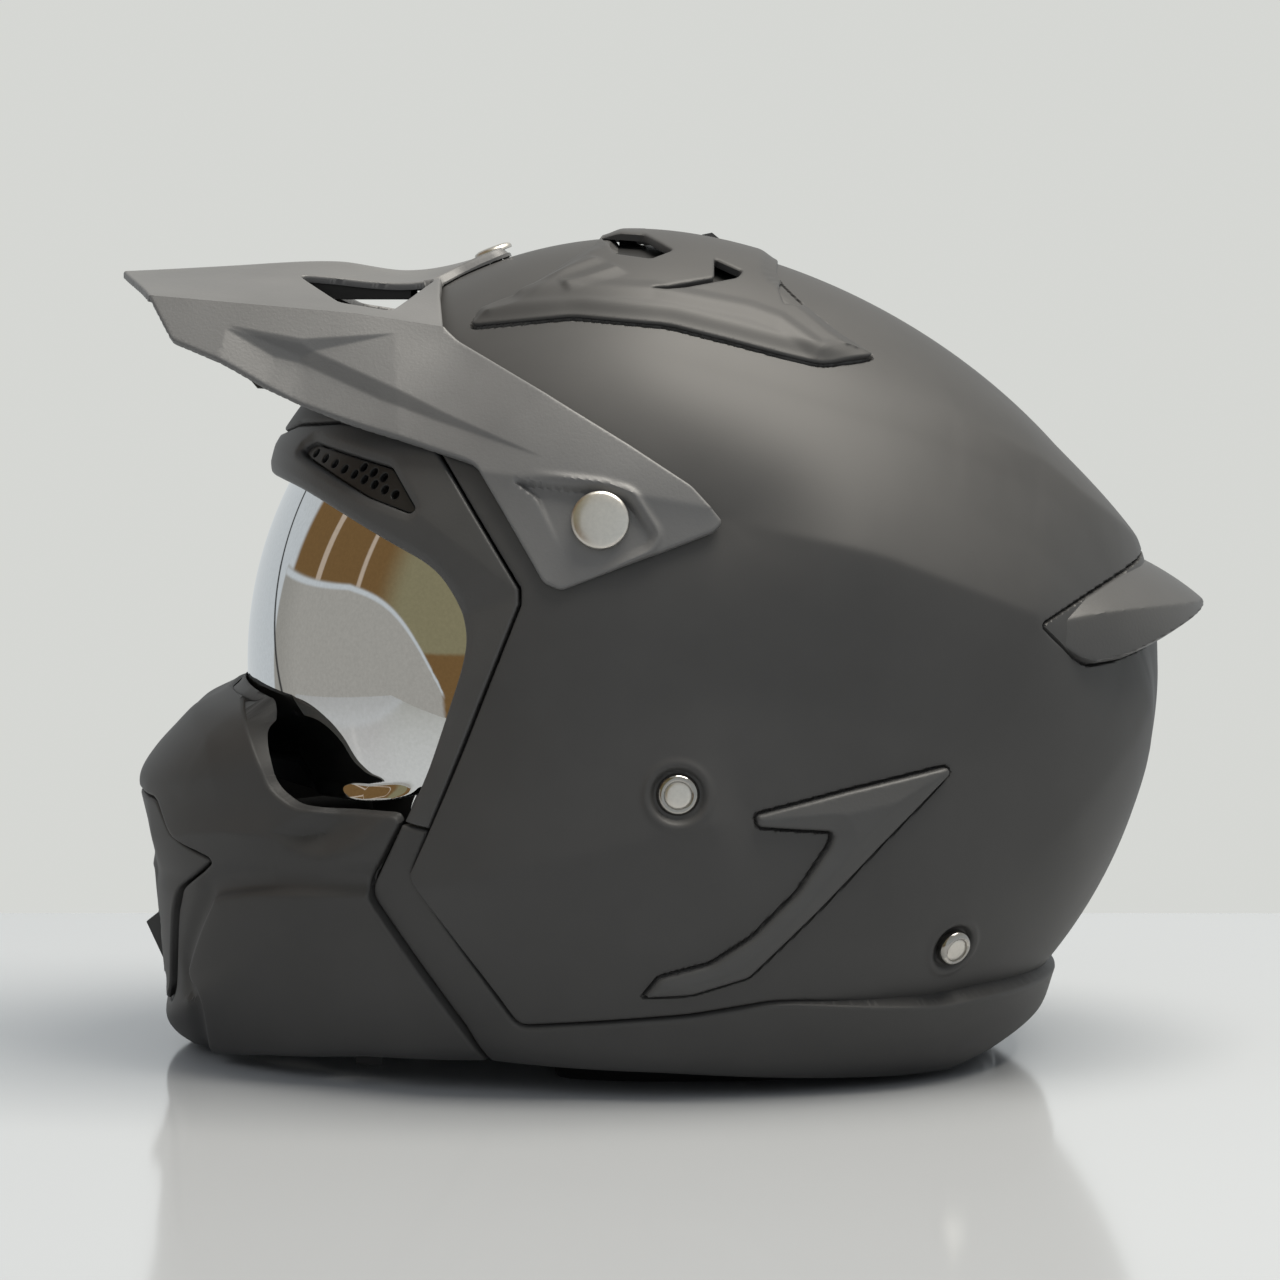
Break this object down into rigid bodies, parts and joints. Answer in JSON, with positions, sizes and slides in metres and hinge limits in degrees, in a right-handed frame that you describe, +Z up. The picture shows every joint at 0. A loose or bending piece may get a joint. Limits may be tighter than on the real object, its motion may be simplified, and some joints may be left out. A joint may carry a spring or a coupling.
{
  "type": "modular motorcycle helmet",
  "caption": "Open-face motorcycle helmet with pull-off chin guard, screwed peak, swing-up mirrored visor, sliding vents, foam liner and buckled chin strap.",
  "frame": {"origin": "on the table, under the middle of the helmet's bounding box", "axes": "+X is where the rider looks, +Y is the rider's left, +Z is up"},
  "size_m": [0.3336, 0.2554, 0.2522],
  "materials": {
    "shell_matte": "matte dark grey paint",
    "grained_plastic": "fine moulded grain",
    "black_plastic": "black moulded",
    "mirror_visor": "silver mirror coat on polycarbonate",
    "polished_steel": "polished",
    "satin_steel": "satin",
    "foam": "moulded bead foam, painted black",
    "lining": "brushed mesh lining",
    "vinyl": "smooth black vinyl",
    "webbing": "woven webbing"
  },
  "bodies": {
    "helmet": {"outer_shell": "shell_matte", "eyeport_frame": "grained_plastic", "brow_grille_left": "black_plastic", "brow_grille_right": "black_plastic", "lower_trim": "shell_matte", "side_trim_left": "grained_plastic", "side_trim_right": "grained_plastic", "rear_spoiler": "grained_plastic", "top_vent_cover": "shell_matte", "peak": "grained_plastic", "peak_duct": "black_plastic", "peak_side_screws": "satin_steel", "peak_top_screw": "satin_steel", "strap_rivets_front": "polished_steel", "strap_rivets_rear": "polished_steel", "visor_brackets": "black_plastic", "visor_screws": "satin_steel", "latch_sockets": "black_plastic", "eps_liner": "foam", "crown_pad": "lining", "cheek_pad_left": "lining", "cheek_pad_right": "lining", "neck_roll": "vinyl", "chin_strap_left": "webbing", "chin_strap_right": "webbing", "buckle_receiver": "satin_steel"},
    "visor": {"visor_lens": "mirror_visor", "visor_hubs": "black_plastic"},
    "crown_vent": {"top_vent_slider": "grained_plastic"},
    "chin_bar": {"chin_guard": "shell_matte", "chin_vent_frame": "shell_matte", "chin_grille": "black_plastic", "chin_pad": "lining", "latch_tongues": "black_plastic"},
    "chin_vent": {"chin_vent_slider": "grained_plastic"},
    "left_release": {"release_left": "black_plastic"},
    "right_release": {"release_right": "black_plastic"},
    "buckle_latch": {"buckle_lever": "satin_steel"},
    "strap_tongue": {"buckle_tongue": "black_plastic", "strap_end_right": "webbing"}
  },
  "joints": [
    {"name": "visor_swing", "type": "hinge", "parent": "helmet", "child": "visor", "pos_m": [0.007, 0, 0.1195], "axis": [0, -1, 0], "range_deg": [0, 58]},
    {"name": "crown_vent_slide", "type": "slide", "parent": "helmet", "child": "crown_vent", "axis": [0.9823, 0, 0.1874], "range_m": [-0.008, 0.006]},
    {"name": "chin_guard_pull", "type": "slide", "parent": "helmet", "child": "chin_bar", "axis": [1, 0, 0], "range_m": [0, 0.12]},
    {"name": "chin_vent_slide", "type": "slide", "parent": "chin_bar", "child": "chin_vent", "axis": [0.0896, 0, 0.996], "range_m": [0, 0.007]},
    {"name": "left_release_press", "type": "slide", "parent": "chin_bar", "child": "left_release", "axis": [0, -1, 0], "range_m": [0, 0.0035], "stiffness_N_per_m": 400},
    {"name": "right_release_press", "type": "slide", "parent": "chin_bar", "child": "right_release", "axis": [0, 1, 0], "range_m": [0, 0.0035], "stiffness_N_per_m": 400},
    {"name": "buckle_lever_lift", "type": "hinge", "parent": "helmet", "child": "buckle_latch", "pos_m": [-0.005, 0.019, 0.0168], "axis": [-1, 0, 0], "range_deg": [0, 35], "stiffness_Nm_per_rad": 0.05},
    {"name": "buckle_tongue_slide", "type": "slide", "parent": "helmet", "child": "strap_tongue", "axis": [0, -1, 0], "range_m": [0, 0.012]}
  ]
}
